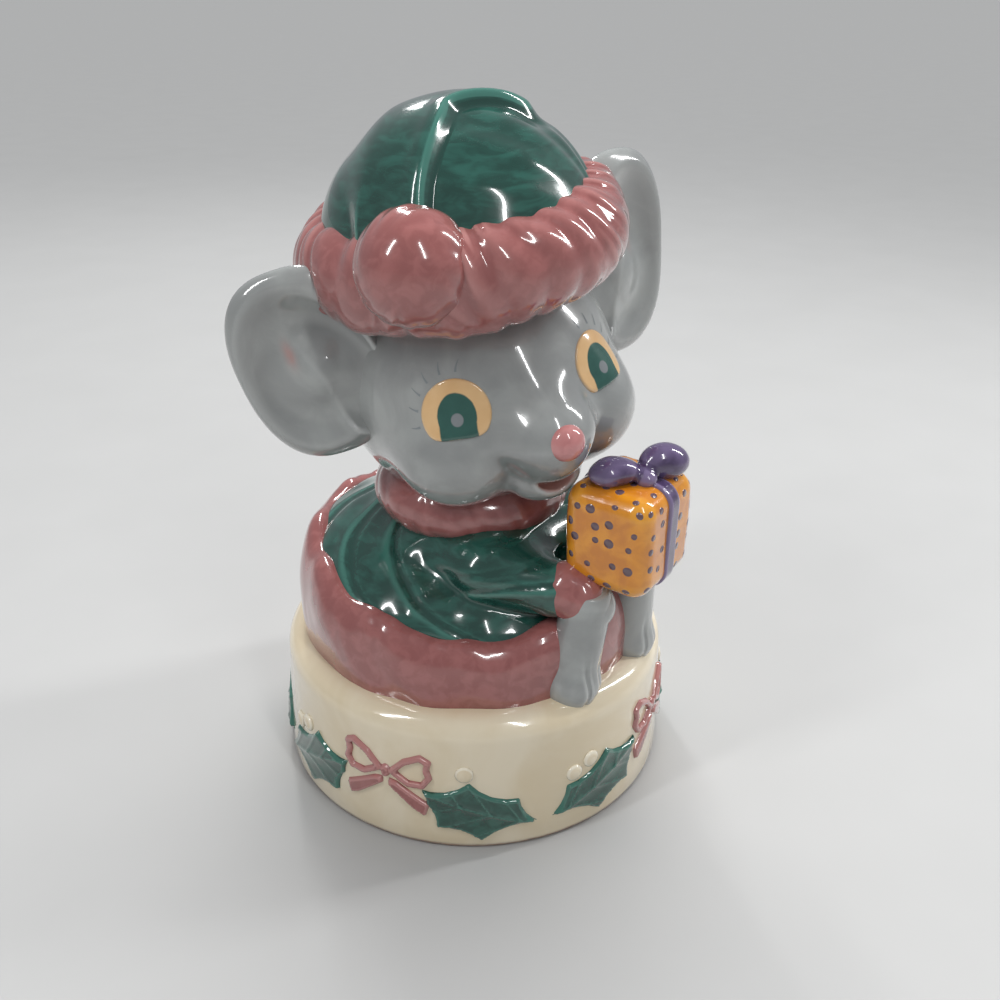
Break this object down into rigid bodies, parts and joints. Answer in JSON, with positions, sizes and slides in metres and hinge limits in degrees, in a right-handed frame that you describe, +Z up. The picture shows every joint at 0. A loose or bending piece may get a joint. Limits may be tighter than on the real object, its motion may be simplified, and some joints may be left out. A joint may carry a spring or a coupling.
{
  "type": "mouse figurine",
  "caption": "Glazed ceramic mouse in a fur-trimmed coat and hat, holding a dotted gift with a bow, standing on a round drum base with relief holly and bows.",
  "frame": {"origin": "centre of the drum's underside, at the height of the foot ring it stands on", "axes": "+Z up; the mouse's coat and gift face -Y; the mouse's right side is towards -X"},
  "size_m": [0.096, 0.0997, 0.1558],
  "materials": {
    "cream_glaze": "gloss",
    "leaf_green": "gloss",
    "berry_cream": "gloss",
    "pink_glaze": "gloss",
    "coat_green": "gloss",
    "grey_glaze": "gloss",
    "nose_pink": "gloss",
    "eye_peach": "gloss",
    "gift_orange": "gloss",
    "ribbon_purple": "gloss"
  },
  "bodies": {
    "root": {"base_drum": "cream_glaze", "holly_leaves": "leaf_green", "holly_berries": "berry_cream", "base_bows": "pink_glaze", "coat": "coat_green", "coat_hem": "pink_glaze", "collar": "pink_glaze", "right_sleeve": "coat_green", "left_sleeve": "coat_green", "right_cuff": "pink_glaze", "left_cuff": "pink_glaze", "right_paw": "grey_glaze", "left_paw": "grey_glaze", "right_foot": "grey_glaze", "left_foot": "grey_glaze", "head": "grey_glaze", "right_ear": "grey_glaze", "left_ear": "grey_glaze", "nose": "nose_pink", "right_eye": "eye_peach", "left_eye": "eye_peach", "hat_crown": "coat_green", "hat_trim": "pink_glaze", "pompom": "pink_glaze", "gift_box": "gift_orange", "gift_ribbon": "ribbon_purple", "gift_bow": "ribbon_purple"}
  },
  "joints": []
}
